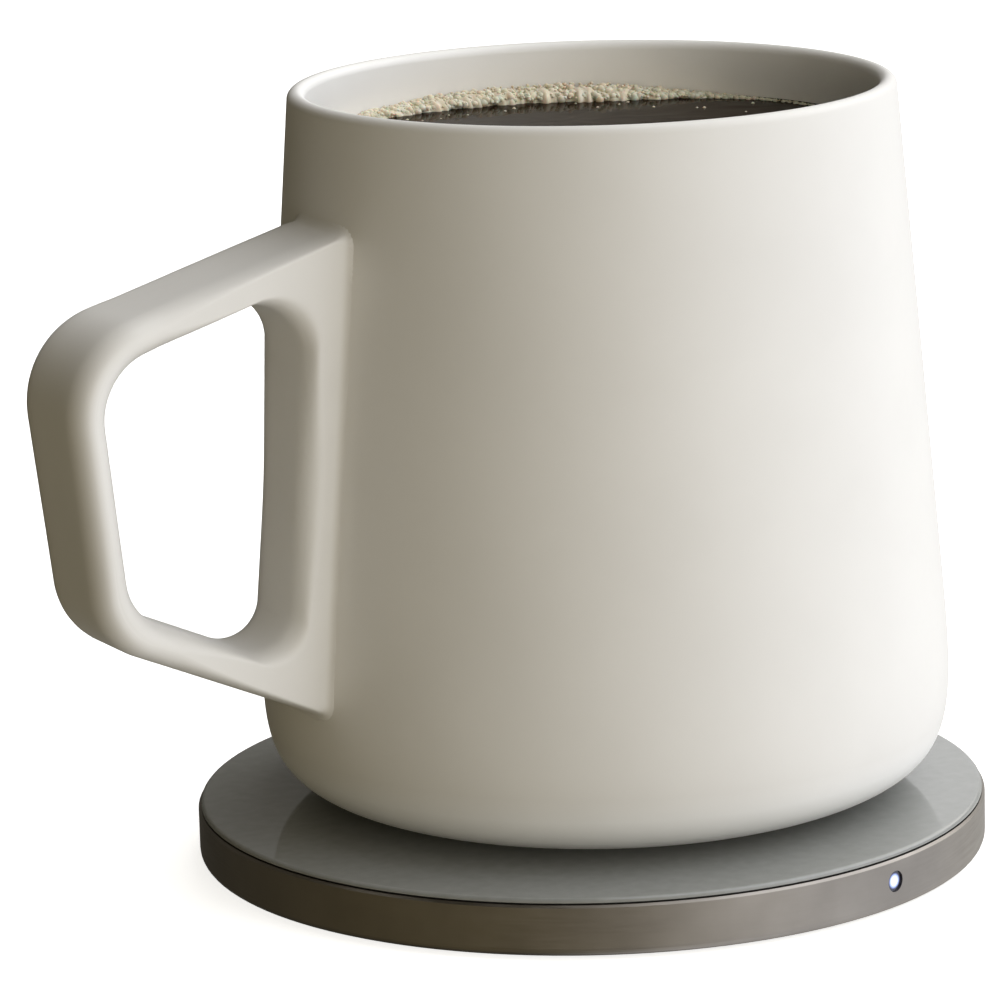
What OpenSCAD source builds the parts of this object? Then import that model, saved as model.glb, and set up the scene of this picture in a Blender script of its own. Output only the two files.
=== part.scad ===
// Self-heating mug standing on its round warming pad.
// Lengths are millimetres. The origin is the centre of the pad's underside, +Z is up,
// and the mug's handle points along -X. The power socket is at +Y.

/* [Mug] */
// Height of the mug
mug_h = 95; // [85:0.5:110]
// Diameter of the rim, measured outside
rim_d = 79.7; // [74:0.1:84]
// Diameter that the tapered wall would reach if it ran straight down to the pad
skirt_d = 95.1; // [90:0.1:100]
// Outer diameter of the flat ring that the mug stands on
foot_d = 62; // [56:0.5:66]
// Width of that ring
foot_w = 2; // [1.5:0.1:3]
// Height at which the lower corner has become the straight wall
corner_h = 28.5; // [24:0.5:36]
// How far the lower corner keeps its low slope, outward from the foot
corner_reach = 15.4; // [12:0.1:17]
// How far below corner_h the wall's direction pulls the corner
corner_pull = 22; // [16:0.5:24]
// Slope at which the corner leaves the foot, in degrees
corner_slope = 10; // [4:1:16]
// Wall thickness at the rim
lip_t = 2.4; // [2:0.1:3]
// Wall thickness just above the lower corner
wall_t = 3.8; // [3.2:0.1:4.6]
// Thickness of the cup's floor
floor_t = 3.5; // [3:0.1:5]
// Depth of the hollow under the floor
well_h = 8; // [7.8:0.1:10]
// Radius where the inside wall meets the floor
cup_corner_r = 12; // [8:0.5:16]
// Distance of the mug's axis from the pad's, as it was put down
mug_off_x = 2.7; // [0:0.1:5]

/* [Handle] */
// Height at which the handle's upper face meets the wall
handle_top = 80.3; // [76:0.1:86]
// Height at which its lower face meets the wall
handle_bottom = 17.4; // [14:0.1:22]
// Distance from the mug's axis to the grip's outer face, half-way up
handle_reach = 79.1; // [74:0.1:88]
// Width of the grip at the height of the upper arm
handle_upper_w = 18.1; // [14:0.1:20]
// Width of the grip at the height of the lower arm
handle_lower_w = 16.3; // [13:0.1:19]
// How much narrower the handle is at the wall than at the grip
root_narrowing = 2.9; // [0:0.1:4]
// Angle at which the upper face falls outward
upper_fall = 14.7; // [8:0.1:18]
// Angle at which the lower face rises outward
lower_rise = 24.5; // [18:0.1:28]
// Angle at which the grip leans in towards the bottom
grip_lean = 6; // [2:0.1:9]
// Thickness of the grip
grip_t = 5; // [4.4:0.1:7]
// Thickness of the upper arm at the wall
upper_t = 3.6; // [3.2:0.1:6]
// Thickness of the lower arm at the wall
lower_t = 5.2; // [4.4:0.1:7]
// How far the post beside the wall stands out from it
post_t = 4.2; // [3.4:0.1:6]
// Angle at which the opening's upper side falls outward
opening_fall = 17.4; // [12:0.1:20]
// Angle at which the opening's floor rises outward
opening_rise = 25; // [20:0.1:29]
// Radius of the grip's upper outside corner
grip_upper_r = 12.3; // [8:0.1:14]
// Radius of the grip's lower outside corner
grip_lower_r = 10.2; // [8:0.1:14]
// Radius of the opening's upper outer corner
opening_upper_r = 8.2; // [5:0.1:11]
// Radius of the opening's lower outer corner
opening_lower_r = 8.2; // [5:0.1:11]
// Radius of the opening's upper corner beside the wall
upper_post_r = 7.6; // [4:0.1:9]
// Radius of the opening's lower corner beside the wall
lower_post_r = 5.5; // [3:0.1:7]
// Round along the handle's edges
handle_edge_r = 2.4; // [1:0.1:3]

/* [Mug electrics] */
// Thickness of the heating plate bonded under the floor
heater_t = 0.8; // [0.6:0.1:1.2]
// Thickness of the insulation under the heating plate
insulation_t = 1; // [0.8:0.1:1.6]
// Diameter of the wire in both coils
coil_wire_d = 1; // [0.8:0.05:1.2]
// Turns in the mug's coil
receiver_turns = 13; // [9:1:13]
// Thickness of both ferrite discs
ferrite_t = 0.8; // [0.6:0.1:1]
// Thickness of both circuit boards
board_t = 0.8; // [0.6:0.1:1]
// Thickness of the cap that closes the mug's base
cap_t = 1.4; // [1.2:0.1:1.8]
// How far the cap lies inside the foot ring
cap_recess = 0.3; // [0.2:0.1:0.5]
// Thickness of the seal above the cap
base_seal_t = 0.5; // [0.4:0.1:0.8]

/* [Warming pad] */
// Diameter of the pad over its metal ring
pad_d = 105.7; // [100:0.1:125]
// Height of the pad from its foot to the top of its plate
pad_h = 8; // [7.8:0.1:11]
// Wall thickness of the metal ring
ring_wall = 1.6; // [1.3:0.1:2.2]
// Round along the ring's lower edge
ring_round = 1.2; // [0.6:0.1:1.3]
// Bright chamfer along the ring's upper edge
ring_chamfer = 0.3; // [0.2:0.05:0.5]
// Thickness of the top plate
plate_t = 1.4; // [1.2:0.1:1.8]
// Height of the plate's rolled edge above the seam
plate_edge_h = 0.55; // [0.45:0.05:0.8]
// How far the plate's edge lies inside the ring's outer face
plate_inset = 0.35; // [0.2:0.05:0.6]
// Thickness of the black gasket in the seam
seam_t = 0.25; // [0.2:0.05:0.4]
// Thickness of the bottom cover
cover_t = 1.2; // [1:0.1:1.5]
// Thickness of the silicone foot
foot_disc_t = 1; // [0.8:0.1:1.2]
// How far the silicone foot stands out below the cover
foot_proud = 0.4; // [0.3:0.05:0.6]
// Diameter of the silicone foot
foot_disc_d = 94; // [80:1:97]
// Number of grooves in the silicone foot
groove_count = 4; // [2:1:5]
// Turns in the pad's coil
transmitter_turns = 13; // [9:1:13]
// Thickness of the tray under the pad's coil
tray_t = 0.7; // [0.6:0.1:1]
// Height of the circuit board above the cover
board_gap = 0.6; // [0.4:0.1:0.8]
// Height of the status light's centre above the table
light_z = 4.25; // [3.7:0.05:4.4]
// Direction of the status light, in degrees from +X
light_angle = -73.5; // [-85:0.1:-68]
// Diameter of the status light's dark surround
light_d = 2.8; // [2.4:0.1:3]
// Diameter of the light itself
light_core_d = 2.2; // [1.8:0.1:2.3]

/* [Hidden] */

$fn = 64;

// General clearances
slip = 0.2;      // round a part that drops into another
rest_gap = 0.05; // between parts that are glued or held by foam
screw_gap = 0.05;
press_gap = 0.02; // round a part that is pressed in
pad_gap = 0.1;   // filled by a thermal pad
overlap = 0.5;   // how far a boss or wall runs into the body that it grows from
cut = 1;         // how far a cutter runs past the face that it opens

// Mug: derived sizes, with heights above the mug's own base
foot_r = foot_d / 2;
foot_inner_r = foot_r - foot_w;
taper = atan((skirt_d - rim_d) / 2 / mug_h);
well_shelf = 1.6;
well_r = foot_inner_r - well_shelf;
floor_top = well_h + floor_t;
cap_top = cap_recess + cap_t;
shelf_h = cap_top + base_seal_t;
cap_skirt_t = 1.4;
cap_skirt_r = well_r - slip;
receiver_space_r = cap_skirt_r - cap_skirt_t;
receiver_coil_z = cap_top + rest_gap + coil_wire_d / 2;
receiver_ferrite_low = receiver_coil_z + coil_wire_d / 2 + rest_gap;
receiver_foam_t = 0.3;
receiver_board_low = receiver_ferrite_low + ferrite_t + receiver_foam_t;
receiver_board_top = receiver_board_low + board_t;
heater_low = well_h - heater_t;
insulation_low = heater_low - insulation_t;
cutout_r = 3;
coil_wire_gap = 0.12;
coil_pitch = coil_wire_d + coil_wire_gap;
coil_inner_r = 9.5;
receiver_lead_r = coil_inner_r + (receiver_turns - 0.5) * coil_pitch;
receiver_lead_angles = [90, 270];

// Handle
handle_mid = 50;
root_depth = 4;
root_corner_r = 3;
arc_steps = 12;
edge_steps = 5;
flattest_edge = 0.96; // share of half the thickness that an edge's round may take

// Pad: derived sizes, with heights above the table
pad_r = pad_d / 2;
ring_low = foot_proud;
plate_r = pad_r - plate_inset;
plate_low = pad_h - plate_t;
plate_edge_low = pad_h - plate_edge_h;
ring_top = plate_edge_low - seam_t;
ring_inner_r = pad_r - ring_wall;
cover_r = ring_inner_r - slip;
cover_top = foot_disc_t + cover_t;
ledge_w = 1.5;
ledge_h = 1;
ledge_r = ring_inner_r - ledge_w;
skirt_t = 1.6;
skirt_depth = 1.3;
skirt_low = ring_top - skirt_depth;
plate_chamfer = 0.15;
skirt_r = ring_inner_r - slip;
board_low = cover_top + board_gap;
board_top = board_low + board_t;
board_edge_gap = 0.9;
board_r = ledge_r - board_edge_gap;
coil_top = plate_low - pad_gap;
coil_z = coil_top - coil_wire_d / 2;
ferrite_top = coil_top - coil_wire_d - rest_gap;
ferrite_low = ferrite_top - ferrite_t;
tray_low = ferrite_low - tray_t;
transmitter_coil_r = coil_inner_r + (transmitter_turns + 0.5) * coil_pitch;
ferrite_margin = 0.8;
ferrite_r = transmitter_coil_r + ferrite_margin;
tray_inner_r = ferrite_r + slip;
tray_wall = 1;
tray_r = tray_inner_r + tray_wall;
tray_seat = 0.2;
board_tray_gap = 2;
board_inner_r = tray_r + board_tray_gap;
tray_post_r = ferrite_r - 4;
tray_post_d = 5;
tray_post_angles = [0, 120, 240];
sensor_post_r = 3;
sensor_d = 2.6;
sensor_h = 1.1;
sensor_low = coil_top - sensor_h;
foot_flat_r = 12;
groove_w = 1.6;
groove_depth = 0.35;

// Screws of the pad's cover, M2, and of its board, M1.6
cover_screw_d = 2;
cover_screw_head_d = 3.8;
cover_screw_head_h = 1.1;
cover_screw_len = 3.2;
cover_screw_r = board_r - 7.4;
cover_screw_angles = [45, 135, 225, 315];
cover_boss_d = 7;
cover_boss_h = 1;
plate_boss_d = 5.4;
thread_end = 0.4;
board_screw_d = 1.6;
board_screw_head_d = 3;
board_screw_head_h = 0.8;
board_screw_len = 2.1;
board_screw_r = board_r - 3.2;
board_screw_angles = [0, 120, 240];
board_post_d = 4.4;
board_post_floor = 0.3;

// Power socket, mid-mounted in the board's edge
socket_w = 8.94;
socket_h = 3.26;
socket_wall = 0.3;
socket_depth = 7.3;
socket_rise = 0.4;
socket_z = board_top + socket_rise;
socket_inset = 1.2;
socket_front = pad_r - socket_inset;
socket_back = socket_front - socket_depth;
socket_back_wall = 1.2;
socket_ear = [1.9, 2, 0.3];
tongue_w = 6.7;
tongue_t = 0.7;
tongue_front_gap = 1;
socket_gap = 0.25;

// Parts on the boards
control_chip = [5, 5, 0.9];
driver_chip = [6, 6, 0.9];
transistor = [3, 3, 0.9];
inductor = [6, 6, 2.2];
capacitor = [5.7, 5, 2];
board_part_r = (board_inner_r + board_r) / 2;
capacitor_angles = [-15, -5, 5, 15];
transistor_angles = [187, 194, 201, 208];
control_angle = 175;
driver_angle = 160;
inductor_angle = 27;
led_w = 1.6;
led_t = 1;
rectifier = [5, 5, 0.9];
tuning_capacitor = [3.2, 2.5, 0.9];
tuning_angles = [150, 180, 210];
receiver_part_r = 16;
lead_d = 1;
heater_lead_r = 22;
heater_lead_angles = [0, 180];

// Plane geometry
function mix(a, b, t) = a + (b - a) * t;
function dir(angle) = [cos(angle), sin(angle)];
function unit(v) = v / norm(v);
function cross2(a, b) = a[0] * b[1] - a[1] * b[0];
// Point where the line through p at angle a meets the line through q at angle b
function meet(p, a, q, b) = p + dir(a) * cross2(q - p, dir(b)) / cross2(dir(a), dir(b));
function turn(a, b) = let (d = b - a) d > 180 ? d - 360 : d < -180 ? d + 360 : d;
// Arc of radius r in the corner at, between its neighbours
function fillet(before, at, after, r, steps) =
    let (
        a = unit(before - at),
        b = unit(after - at),
        half = acos(a * b) / 2,
        centre = at + unit(a + b) * r / sin(half),
        start = at + a * r / tan(half) - centre,
        end = at + b * r / tan(half) - centre,
        from = atan2(start[1], start[0]),
        sweep = turn(from, atan2(end[1], end[0]))
    )
    [for (k = [0 : steps]) centre + r * dir(from + sweep * k / steps)];
function rounded_loop(corners, radii, steps) =
    [for (i = [0 : 3]) each fillet(corners[(i + 3) % 4], corners[i], corners[(i + 1) % 4], radii[i], steps)];
function bezier(a, b, c, d, t) =
    a * pow(1 - t, 3) + b * 3 * pow(1 - t, 2) * t + c * 3 * (1 - t) * t * t + d * t * t * t;
function arc(centre, r, from, to, steps) =
    [for (k = [0 : steps]) centre + r * dir(mix(from, to, k / steps))];

// Radius of the mug's outside where the wall is straight, at height z
function wall_r(z) = mix(skirt_d / 2, rim_d / 2, z / mug_h);
function cup_wall_r(z) = wall_r(z) - mix(wall_t, lip_t, (z - corner_h) / (mug_h - corner_h));

// Outside of the mug from the foot ring's edge up to the rim
corner_curve_steps = 14;
lip_r = lip_t / 2;
lip_z = mug_h - lip_r;
lip_centre = [wall_r(lip_z) - lip_r, lip_z];
corner_curve = [
    for (k = [0 : corner_curve_steps])
        bezier(
            [foot_r, 0],
            [foot_r + corner_reach, corner_reach * tan(corner_slope)],
            [wall_r(corner_h - corner_pull), corner_h - corner_pull],
            [wall_r(corner_h), corner_h],
            k / corner_curve_steps
        )
];
cup_corner_z = floor_top + cup_corner_r;
cup_corner_centre = [cup_wall_r(cup_corner_z) - cup_corner_r, cup_corner_z];

// Cylinder wall between two radii
module ring(outer_r, inner_r, low, high) {
    translate([0, 0, low])
        difference() {
            cylinder(r = outer_r, h = high - low, $fn = 128);
            translate([0, 0, -cut])
                cylinder(r = inner_r, h = high - low + 2 * cut, $fn = 128);
        }
}

module disc(r, low, high) {
    translate([0, 0, low])
        cylinder(r = r, h = high - low, $fn = 128);
}

// Children placed at each of the angles, at radius r
module around(angles, r) {
    for (angle = angles)
        rotate([0, 0, angle])
            translate([r, 0, 0])
                children();
}

// Box centred in x and y that stands on z = 0
module block(size) {
    translate([-size[0] / 2, -size[1] / 2, 0])
        cube(size);
}

module stadium(w, h) {
    square([w - h, h], center = true);
    for (side = [-1, 1])
        translate([side * (w - h) / 2, 0])
            circle(d = h);
}

// Flat spiral of round wire, made of half turns about two centres half a pitch apart
module spiral(inner_r, pitch, wire_d, turns) {
    for (i = [0 : turns - 1]) {
        rotate_extrude(angle = 180)
            translate([inner_r + i * pitch, 0])
                circle(d = wire_d, $fn = 24);
        translate([pitch / 2, 0, 0])
            rotate([0, 0, 180])
                rotate_extrude(angle = 180)
                    translate([inner_r + (i + 0.5) * pitch, 0])
                        circle(d = wire_d, $fn = 24);
    }
}

// Round wire that starts along +X and bends in the XY plane. Each leg is its length
// and the turn after it, in degrees to the left.
module bent_wire(legs, d, bend_r, i = 0) {
    length = legs[i][0];
    rotate([0, 90, 0])
        cylinder(d = d, h = length);
    if (i < len(legs) - 1) {
        turn = legs[i][1];
        angle = abs(turn);
        translate([length, 0, 0])
            rotate([turn < 0 ? 180 : 0, 0, 0])
                translate([0, bend_r, 0])
                    rotate([0, 0, -90])
                        rotate_extrude(angle = angle)
                            translate([bend_r, 0])
                                circle(d = d);
        translate([length + bend_r * sin(angle), sign(turn) * bend_r * (1 - cos(angle)), 0])
            rotate([0, 0, turn])
                bent_wire(legs, d, bend_r, i + 1);
    }
}

// Screw whose head's underside is at z = 0, with the head below and the thread above
module screw(d, length, head_d, head_h) {
    slot_w = d * 0.3;
    slot_length = head_d * 0.6;
    slot_depth = head_h * 0.5;
    difference() {
        union() {
            cylinder(d = d, h = length, $fn = 32);
            translate([0, 0, -head_h])
                cylinder(d = head_d, h = head_h, $fn = 32);
        }
        for (angle = [0, 90])
            rotate([0, 0, angle])
                translate([0, 0, -head_h - cut])
                    block([slot_length, slot_w, cut + slot_depth]);
    }
}

// Mug

module on_pad() {
    translate([mug_off_x, 0, pad_h])
        children();
}

module cup_outside() {
    rotate_extrude($fn = 128)
        polygon(concat([[0, 0]], corner_curve, [[wall_r(mug_h), mug_h], [0, mug_h]]));
}

module mug_cup() {
    color("ivory")
        on_pad()
            rotate_extrude($fn = 128)
                polygon(concat(
                    corner_curve,
                    arc(lip_centre, lip_r, 0, 180, 10),
                    arc(cup_corner_centre, cup_corner_r, 0, -90, 8),
                    [[0, floor_top], [0, well_h], [well_r, well_h], [well_r, shelf_h]],
                    [[foot_inner_r, shelf_h], [foot_inner_r, 0]]
                ));
}

// The handle is a loop between two rounded four-sided outlines in the plane of the
// mug's axis. Its section spans from one outline to the other.
wall_angle = 90 + taper;
grip_angle = 90 - grip_lean;
upper_point = [wall_r(handle_top), handle_top];
lower_point = [wall_r(handle_bottom), handle_bottom];
grip_point = [handle_reach, handle_mid];
root_point = [wall_r(handle_mid) - root_depth, handle_mid];
opening_upper_point = upper_point - [0, upper_t];
opening_lower_point = lower_point + [0, lower_t];
opening_grip_point = grip_point - [grip_t / cos(grip_lean), 0];
post_point = [wall_r(handle_mid) + post_t, handle_mid];

outer_outline = rounded_loop(
    [
        meet(grip_point, grip_angle, upper_point, -upper_fall),
        meet(upper_point, -upper_fall, root_point, wall_angle),
        meet(root_point, wall_angle, lower_point, lower_rise),
        meet(lower_point, lower_rise, grip_point, grip_angle)
    ],
    [grip_upper_r, root_corner_r, root_corner_r, grip_lower_r],
    arc_steps
);
opening_outline = rounded_loop(
    [
        meet(opening_grip_point, grip_angle, opening_upper_point, -opening_fall),
        meet(opening_upper_point, -opening_fall, post_point, wall_angle),
        meet(post_point, wall_angle, opening_lower_point, opening_rise),
        meet(opening_lower_point, opening_rise, opening_grip_point, grip_angle)
    ],
    [opening_upper_r, upper_post_r, lower_post_r, opening_lower_r],
    arc_steps
);

// Half the handle's width at a point of the loop: it narrows downward and to the wall
function handle_half_w(p) =
    let (
        at_height = mix(handle_lower_w, handle_upper_w, (p[1] - handle_bottom) / (handle_top - handle_bottom)),
        inward = (handle_reach - p[0]) / (handle_reach - wall_r(handle_mid))
    )
    (at_height - root_narrowing * inward) / 2;

// Outline of the section between two points of the loop: a rectangle with round edges
function handle_section(inner, outer) =
    let (
        middle = (inner + outer) / 2,
        half_t = norm(outer - inner) / 2,
        across = unit(outer - inner),
        r = min(handle_edge_r, flattest_edge * half_t)
    )
    [
        for (corner = [0 : 3], k = [0 : edge_steps])
            let (
                out = corner == 0 || corner == 3 ? 1 : -1,
                side = corner < 2 ? 1 : -1,
                round = r * dir(90 * (corner + k / edge_steps)),
                place = middle + across * (out * (half_t - r) + round[0])
            )
            [-place[0], side * (handle_half_w(place) - r) + round[1], place[1]]
    ];

module handle_loop() {
    rings = len(outer_outline);
    count = 4 * (edge_steps + 1);
    points = [for (i = [0 : rings - 1]) each handle_section(opening_outline[i], outer_outline[i])];
    faces = [
        for (i = [0 : rings - 1], k = [0 : count - 1])
            let (
                i2 = (i + 1) % rings,
                k2 = (k + 1) % count,
                a = i * count + k,
                b = i * count + k2,
                c = i2 * count + k2,
                d = i2 * count + k
            )
            each [[a, b, c], [a, c, d]]
    ];
    polyhedron(points, faces);
}

module mug_handle() {
    color("ivory")
        on_pad()
            difference() {
                handle_loop();
                cup_outside();
            }
}

module heating_plate() {
    color("silver")
        on_pad()
            disc(well_r - slip, heater_low, well_h);
}

module thermal_cutout() {
    color("dimgray")
        on_pad()
            disc(cutout_r - slip, insulation_low, heater_low);
}

module insulation_disc() {
    color("wheat")
        on_pad()
            difference() {
                disc(well_r - slip, insulation_low, heater_low);
                disc(cutout_r, insulation_low - cut, heater_low + cut);
                around(heater_lead_angles, heater_lead_r)
                    disc(lead_d / 2 + slip, insulation_low - cut, heater_low + cut);
            }
}

module receiver_board() {
    color("darkgreen")
        on_pad()
            difference() {
                disc(cap_skirt_r, receiver_board_low, receiver_board_top);
                around(receiver_lead_angles, receiver_lead_r)
                    disc(lead_d / 2 + slip, receiver_board_low - cut, receiver_board_top + cut);
            }
}

module rectifier_chip() {
    color("black")
        on_pad()
            translate([receiver_part_r, 0, receiver_board_top])
                block(rectifier);
}

module tuning_capacitors() {
    color("tan")
        on_pad()
            around(tuning_angles, receiver_part_r)
                translate([0, 0, receiver_board_top])
                    block(tuning_capacitor);
}

module heater_leads() {
    color("firebrick")
        on_pad()
            around(heater_lead_angles, heater_lead_r)
                disc(lead_d / 2, receiver_board_top, heater_low);
}

module receiver_leads() {
    color("peru")
        on_pad()
            around(receiver_lead_angles, receiver_lead_r)
                disc(lead_d / 2, receiver_ferrite_low + ferrite_t, receiver_board_top);
}

module receiver_ferrite() {
    color("darkslategray")
        on_pad()
            disc(receiver_space_r - slip, receiver_ferrite_low, receiver_ferrite_low + ferrite_t);
}

module receiver_coil() {
    color("peru")
        on_pad()
            translate([0, 0, receiver_coil_z])
                spiral(coil_inner_r, coil_pitch, coil_wire_d, receiver_turns);
}

module base_seal() {
    color("gray")
        on_pad()
            ring(foot_inner_r - slip, well_r + slip, cap_top, shelf_h);
}

module base_cap() {
    color("gainsboro")
        on_pad() {
            disc(foot_inner_r - slip, cap_recess, cap_top);
            ring(cap_skirt_r, receiver_space_r, cap_top - overlap, receiver_board_low);
        }
}

// Warming pad

module top_plate() {
    color("dimgray") {
        rotate_extrude($fn = 128)
            polygon(concat(
                [[0, plate_low], [skirt_r - skirt_t, plate_low], [skirt_r - skirt_t, skirt_low]],
                [[skirt_r, skirt_low], [skirt_r, plate_edge_low]],
                [[plate_r - plate_chamfer, plate_edge_low]],
                arc([plate_r - plate_edge_h, pad_h - plate_edge_h], plate_edge_h, 0, 90, 6),
                [[0, pad_h]]
            ));
        around(cover_screw_angles, cover_screw_r)
            difference() {
                disc(plate_boss_d / 2, cover_top + cover_boss_h, plate_low + overlap);
                disc(cover_screw_d / 2 + screw_gap, cover_top, cover_top + cover_screw_len + thread_end);
            }
    }
}

module seam_gasket() {
    color("black")
        ring(plate_r - plate_edge_h, ring_inner_r, ring_top, plate_edge_low);
}

module side_ring() {
    color("rosybrown")
        difference() {
            union() {
                rotate_extrude($fn = 128)
                    polygon(concat(
                        [[ring_inner_r, ring_low]],
                        arc([pad_r - ring_round, ring_low + ring_round], ring_round, -90, 0, 6),
                        [[pad_r, ring_top - ring_chamfer], [pad_r - ring_chamfer, ring_top]],
                        [[ring_inner_r, ring_top]]
                    ));
                ring(ring_inner_r + overlap, ledge_r, cover_top, cover_top + ledge_h);
            }
            at_light()
                disc(light_d / 2, ledge_r - cut, pad_r + cut);
            at_socket(pad_r + cut)
                linear_extrude(height = ring_wall + ledge_w + 2 * cut)
                    stadium(socket_w + 2 * socket_gap, socket_h + 2 * socket_gap);
        }
}

module bottom_cover() {
    color("dimgray")
        difference() {
            union() {
                disc(cover_r, foot_proud, cover_top);
                around(cover_screw_angles, cover_screw_r)
                    disc(cover_boss_d / 2, cover_top - overlap, cover_top + cover_boss_h);
                around(board_screw_angles, board_screw_r)
                    disc(board_post_d / 2, cover_top - overlap, board_low);
                around(tray_post_angles, tray_post_r)
                    disc(tray_post_d / 2, cover_top - overlap, tray_low);
            }
            disc(foot_disc_d / 2 + slip, foot_proud - cut, foot_disc_t);
            around(cover_screw_angles, cover_screw_r) {
                disc(cover_screw_head_d / 2 + slip, 0, cover_top);
                disc(cover_screw_d / 2 + slip, 0, cover_top + cover_boss_h + cut);
            }
            around(board_screw_angles, board_screw_r)
                disc(board_screw_d / 2 + screw_gap, foot_disc_t + board_post_floor, board_low + cut);
        }
}

module foot_disc() {
    groove_step = (foot_disc_d / 2 - foot_flat_r) / (groove_count + 1);
    color("darkgray")
        difference() {
            disc(foot_disc_d / 2, 0, foot_disc_t);
            for (i = [1 : groove_count]) {
                groove_r = foot_flat_r + i * groove_step;
                ring(groove_r + groove_w / 2, groove_r - groove_w / 2, -cut, groove_depth);
            }
        }
}

// Parts along the status light's axis, with x outward from the pad's centre
module at_light() {
    rotate([0, 0, light_angle])
        translate([0, 0, light_z])
            rotate([0, 90, 0])
                children();
}

light_recess = 0.25;
light_face = sqrt(pad_r * pad_r - light_d * light_d / 4) - light_recess;
light_stem_d = 1.6;
light_core_low = ring_inner_r - 0.2;
light_surround_low = ring_inner_r + 0.2;
led_gap = 0.1;
led_face = ledge_r - 0.7;

module light_surround() {
    color("black")
        at_light()
            ring(light_d / 2 - press_gap, light_core_d / 2, light_surround_low, light_face);
}

module light_pipe() {
    color("white")
        at_light() {
            disc(light_core_d / 2 - press_gap, light_core_low, light_face);
            disc(light_stem_d / 2, led_face + led_gap, light_core_low + press_gap);
        }
}

module status_led() {
    color("lightyellow")
        rotate([0, 0, light_angle])
            translate([led_face - led_t / 2, 0, board_top])
                block([led_t, led_w, light_z + led_w / 2 - board_top]);
}

module main_board() {
    color("darkgreen")
        difference() {
            ring(board_r, board_inner_r, board_low, board_top);
            around(cover_screw_angles, cover_screw_r)
                disc(cover_boss_d / 2 + 2 * slip, board_low - cut, board_top + cut);
            around(board_screw_angles, board_screw_r)
                disc(board_screw_d / 2 + slip, board_low - cut, board_top + cut);
            translate([-(socket_w / 2 + socket_gap), socket_back - socket_gap, board_low - cut])
                cube([socket_w + 2 * socket_gap, pad_r, board_t + 2 * cut]);
            translate([-board_inner_r - board_notch, -inner_bend_r - lead_d, board_low - cut])
                cube([2 * board_notch, 2 * lead_d, board_t + 2 * cut]);
        }
}

// Chip, coil or capacitor that stands on the main board
module board_part(size, angles) {
    around(angles, board_part_r)
        translate([0, 0, board_top])
            block(size);
}

module control_chip() {
    color("black") board_part(control_chip, [control_angle]);
}

module driver_chip() {
    color("black") board_part(driver_chip, [driver_angle]);
}

module bridge_transistors() {
    color("black") board_part(transistor, transistor_angles);
}

module power_inductor() {
    color("slategray") board_part(inductor, [inductor_angle]);
}

module resonant_capacitors() {
    color("tan") board_part(capacitor, capacitor_angles);
}

module transmitter_coil() {
    color("peru")
        translate([0, 0, coil_z])
            spiral(coil_inner_r, coil_pitch, coil_wire_d, transmitter_turns);
}

// The coil's outer end runs straight on to the board. Its inner end drops through the
// middle, runs out under the tray towards -X and rises onto the board.
lead_bend_r = 0.7;
inner_bend_r = 1.2;
inner_drop_x = coil_inner_r - 3.3;
outer_lead_x = coil_inner_r + transmitter_turns * coil_pitch;
middle_hole_r = coil_inner_r - 1.5;
under_tray_z = (cover_top + tray_low) / 2;
on_board_z = board_top + lead_d / 2 + rest_gap;
board_notch = 1.5;
lead_end = 3;
lead_tray_gap = 0.8;
rise_turn = 45;

module transmitter_ferrite() {
    color("darkslategray")
        ring(ferrite_r, middle_hole_r, ferrite_low, ferrite_top);
}

module coil_tray() {
    color("gainsboro") {
        difference() {
            union() {
                disc(tray_r, tray_low, ferrite_low);
                ring(tray_r, tray_inner_r, ferrite_low - tray_seat, coil_top);
            }
            translate([inner_drop_x, -inner_bend_r, 0])
                disc(lead_d / 2 + 2 * slip, tray_low - cut, tray_low + tray_t + cut);
            translate([outer_lead_x - lead_d, 0, ferrite_top])
                cube([2 * lead_d, tray_r, coil_top]);
        }
        disc(sensor_post_r, ferrite_low - tray_seat, sensor_low);
    }
}

module coil_leads() {
    run_out = sqrt(pow(tray_r + lead_tray_gap, 2) - outer_lead_x * outer_lead_x);
    rise_x = board_inner_r - lead_bend_r;
    rise = on_board_z - under_tray_z;
    rise_leg = (rise - 2 * lead_bend_r * (1 - cos(rise_turn))) / sin(rise_turn);
    color("peru") {
        translate([outer_lead_x, 0, coil_z])
            rotate([90, 0, 90])
                bent_wire(
                    [[run_out, -90], [coil_z - on_board_z - 2 * lead_bend_r, 90], [lead_end]],
                    lead_d, lead_bend_r
                );
        translate([coil_inner_r - inner_bend_r, 0, coil_z])
            rotate([0, 0, -90])
                rotate_extrude(angle = 90)
                    translate([inner_bend_r, 0])
                        circle(d = lead_d);
        translate([coil_inner_r - inner_bend_r, -inner_bend_r, coil_z])
            rotate([90, 0, 180])
                bent_wire(
                    [
                        [coil_inner_r - inner_bend_r - inner_drop_x - lead_bend_r, -90],
                        [coil_z - under_tray_z - 2 * lead_bend_r, 90],
                        [inner_drop_x - lead_bend_r + rise_x, rise_turn],
                        [rise_leg, -rise_turn],
                        [lead_end]
                    ],
                    lead_d, lead_bend_r
                );
    }
}

module pad_temperature_sensor() {
    color("black")
        disc(sensor_d / 2, sensor_low, coil_top);
}

module at_socket(y) {
    translate([0, y, socket_z])
        rotate([90, 0, 0])
            children();
}

module usb_socket_shell() {
    color("silver") {
        difference() {
            at_socket(socket_front)
                linear_extrude(height = socket_depth)
                    stadium(socket_w, socket_h);
            at_socket(socket_front + cut)
                linear_extrude(height = socket_depth + cut - socket_wall)
                    stadium(socket_w - 2 * socket_wall, socket_h - 2 * socket_wall);
        }
        ear_x = (socket_w + socket_ear[0] - socket_wall) / 2;
        for (side = [-1, 1])
            translate([side * ear_x, socket_back + socket_ear[1], board_top])
                block(socket_ear);
    }
}

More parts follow.
